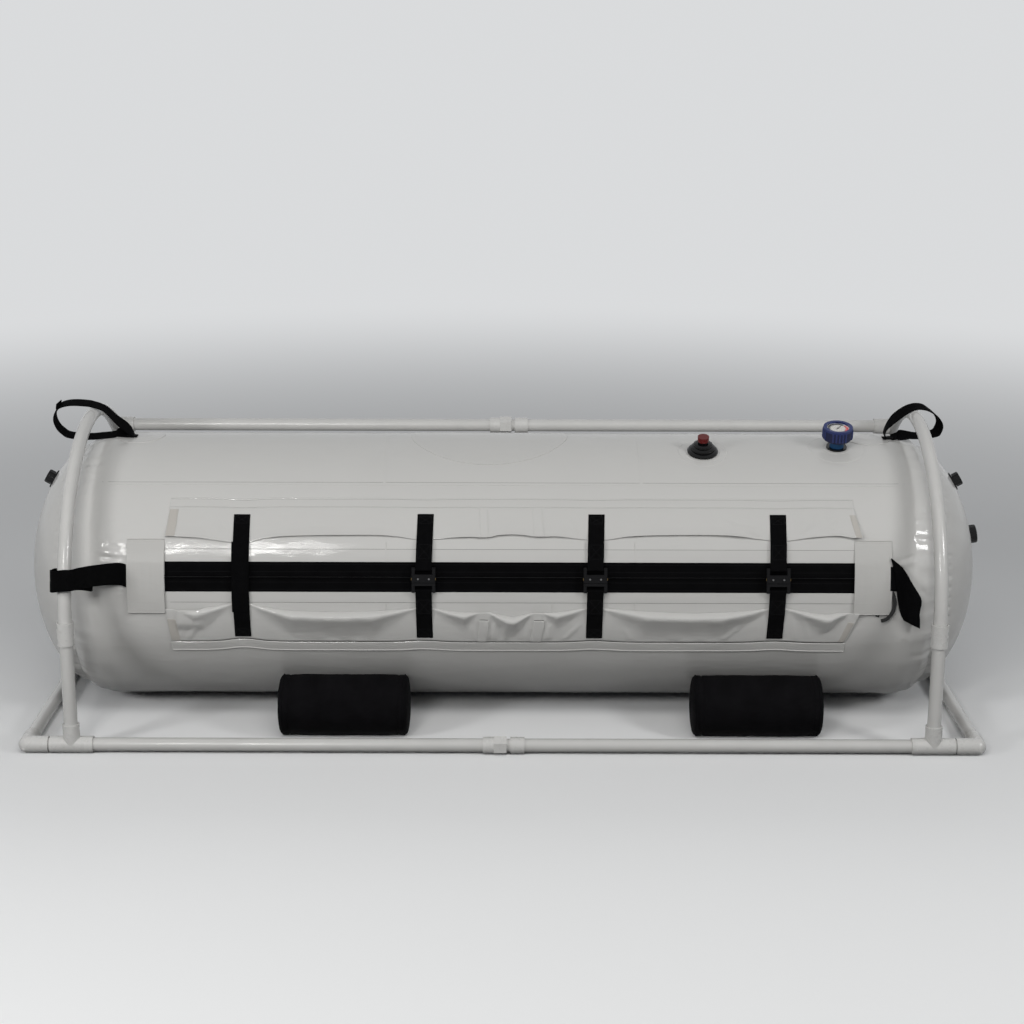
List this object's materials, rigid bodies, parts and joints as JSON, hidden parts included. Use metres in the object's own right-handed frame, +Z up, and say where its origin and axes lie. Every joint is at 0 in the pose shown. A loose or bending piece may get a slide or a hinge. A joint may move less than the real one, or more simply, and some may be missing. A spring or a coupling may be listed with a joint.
{
  "type": "hyperbaric chamber",
  "caption": "Soft inflatable pressure tube with a zipped side door, straps, gauge, relief valve and capped ports, lying on bolsters in a frame of pipe with hoops.",
  "frame": {"origin": "floor level under the middle of the whole chamber", "axes": "+X along the tube towards the end with two ports, -Y towards the door, +Z up"},
  "size_m": [2.4592, 0.9366, 0.7785],
  "materials": {
    "pipe": "gloss",
    "fitting": "gloss",
    "shell": "satin",
    "patch": "gloss",
    "seal": "satin",
    "zipper_fabric": "matte",
    "zipper_teeth": "satin",
    "slider_metal": "satin",
    "webbing": "satin",
    "buckle": "satin",
    "rivet": "polished",
    "clip_metal": "satin",
    "boot": "satin",
    "fitting_black": "gloss",
    "dial": "satin",
    "needle": "matte",
    "lens": "polished",
    "button": "gloss",
    "nut": "satin",
    "mattress_cover": "matte",
    "bolster_cover": "matte"
  },
  "bodies": {
    "chamber": {"base_rails": "pipe", "side_rails": "pipe", "corner_nipples": "pipe", "corner_elbows": "fitting", "base_tees": "fitting", "upright_posts": "pipe", "post_couplers": "fitting", "hoop_left": "pipe", "hoop_right": "pipe", "top_rails": "pipe", "top_rail_sockets": "fitting", "union_sockets": "fitting", "union_plugs": "fitting", "body_panel": "shell", "end_cap_left": "shell", "end_cap_right": "shell", "seam_tapes": "shell", "oval_patch": "patch", "upper_flap": "patch", "lower_flap": "patch", "flap_strips": "patch", "end_covers": "patch", "zipper_tapes": "zipper_fabric", "zipper_coil": "zipper_teeth", "seal_flap": "seal", "inner_zipper": "zipper_fabric", "strap_webbings": "webbing", "buckle_frames": "buckle", "buckle_tongues": "buckle", "buckle_rivets": "rivet", "tie_strap_left": "webbing", "tie_strap_right": "webbing", "handle_loop_left": "webbing", "handle_loop_right": "webbing", "handle_patches": "patch", "gauge_flange": "fitting_black", "gauge_boot": "boot", "gauge_dial": "dial", "gauge_lens": "lens", "valve_body": "fitting_black", "port_bodies": "fitting_black", "fitting_nuts": "nut", "mattress": "mattress_cover", "bolsters": "bolster_cover"},
    "zipper_slider": {"zipper_slider": "slider_metal"},
    "zipper_pull": {"zipper_pull": "slider_metal"},
    "inner_slider": {"inner_slider": "slider_metal"},
    "gauge_needle": {"gauge_needle": "needle"},
    "valve_button": {"valve_button": "button", "valve_sleeve": "nut"},
    "port_cap_left": {"port_cap_left": "fitting_black"},
    "port_cap_upper_right": {"port_cap_upper_right": "fitting_black"},
    "port_cap_middle_right": {"port_cap_middle_right": "fitting_black"},
    "clip_2_left": {"clip_2_left": "clip_metal"},
    "clip_2_right": {"clip_2_right": "clip_metal"},
    "clip_3_left": {"clip_3_left": "clip_metal"},
    "clip_3_right": {"clip_3_right": "clip_metal"},
    "clip_4_left": {"clip_4_left": "clip_metal"},
    "clip_4_right": {"clip_4_right": "clip_metal"}
  },
  "joints": [
    {"name": "zipper_slide", "type": "slide", "parent": "chamber", "child": "zipper_slider", "axis": [1, 0, 0], "range_m": [-1.72, 0]},
    {"name": "pull_swing", "type": "hinge", "parent": "zipper_slider", "child": "zipper_pull", "pos_m": [0.952, -0.33709, 0.39937], "axis": [0, -0.9914, 0.1305], "range_deg": [0, 40]},
    {"name": "inner_zipper_slide", "type": "slide", "parent": "chamber", "child": "inner_slider", "axis": [1, 0, 0], "range_m": [-1.63, 0]},
    {"name": "needle_turn", "type": "hinge", "parent": "chamber", "child": "gauge_needle", "pos_m": [0.848, -0.07648, 0.68629], "axis": [0, -0.225, 0.9744], "range_deg": [-100, 170]},
    {"name": "valve_press", "type": "slide", "parent": "chamber", "child": "valve_button", "axis": [0, 0.2924, -0.9563], "range_m": [0, 0.004], "stiffness_N_per_m": 900, "springref_m": -0.002},
    {"name": "clip_2_left_press", "type": "slide", "parent": "chamber", "child": "clip_2_left", "axis": [1, 0, 0], "range_m": [0, 0.005], "stiffness_N_per_m": 600, "springref_m": -0.001},
    {"name": "clip_2_right_press", "type": "slide", "parent": "chamber", "child": "clip_2_right", "axis": [-1, 0, 0], "range_m": [0, 0.005], "stiffness_N_per_m": 600, "springref_m": -0.001},
    {"name": "clip_3_left_press", "type": "slide", "parent": "chamber", "child": "clip_3_left", "axis": [1, 0, 0], "range_m": [0, 0.005], "stiffness_N_per_m": 600, "springref_m": -0.001},
    {"name": "clip_3_right_press", "type": "slide", "parent": "chamber", "child": "clip_3_right", "axis": [-1, 0, 0], "range_m": [0, 0.005], "stiffness_N_per_m": 600, "springref_m": -0.001},
    {"name": "clip_4_left_press", "type": "slide", "parent": "chamber", "child": "clip_4_left", "axis": [1, 0, 0], "range_m": [0, 0.005], "stiffness_N_per_m": 600, "springref_m": -0.001},
    {"name": "clip_4_right_press", "type": "slide", "parent": "chamber", "child": "clip_4_right", "axis": [-1, 0, 0], "range_m": [0, 0.005], "stiffness_N_per_m": 600, "springref_m": -0.001},
    {"name": "port_cap_left_turn", "type": "hinge", "parent": "chamber", "child": "port_cap_left", "pos_m": [-1.16604, 0, 0.57806], "axis": [-0.8716, 0, 0.4902], "continuous": true},
    {"name": "port_cap_upper_right_turn", "type": "hinge", "parent": "chamber", "child": "port_cap_upper_right", "pos_m": [1.16604, 0, 0.57806], "axis": [0.8716, 0, 0.4902], "continuous": true},
    {"name": "port_cap_middle_right_turn", "type": "hinge", "parent": "chamber", "child": "port_cap_middle_right", "pos_m": [1.21383, 0, 0.43495], "axis": [0.988, 0, 0.1547], "continuous": true}
  ]
}
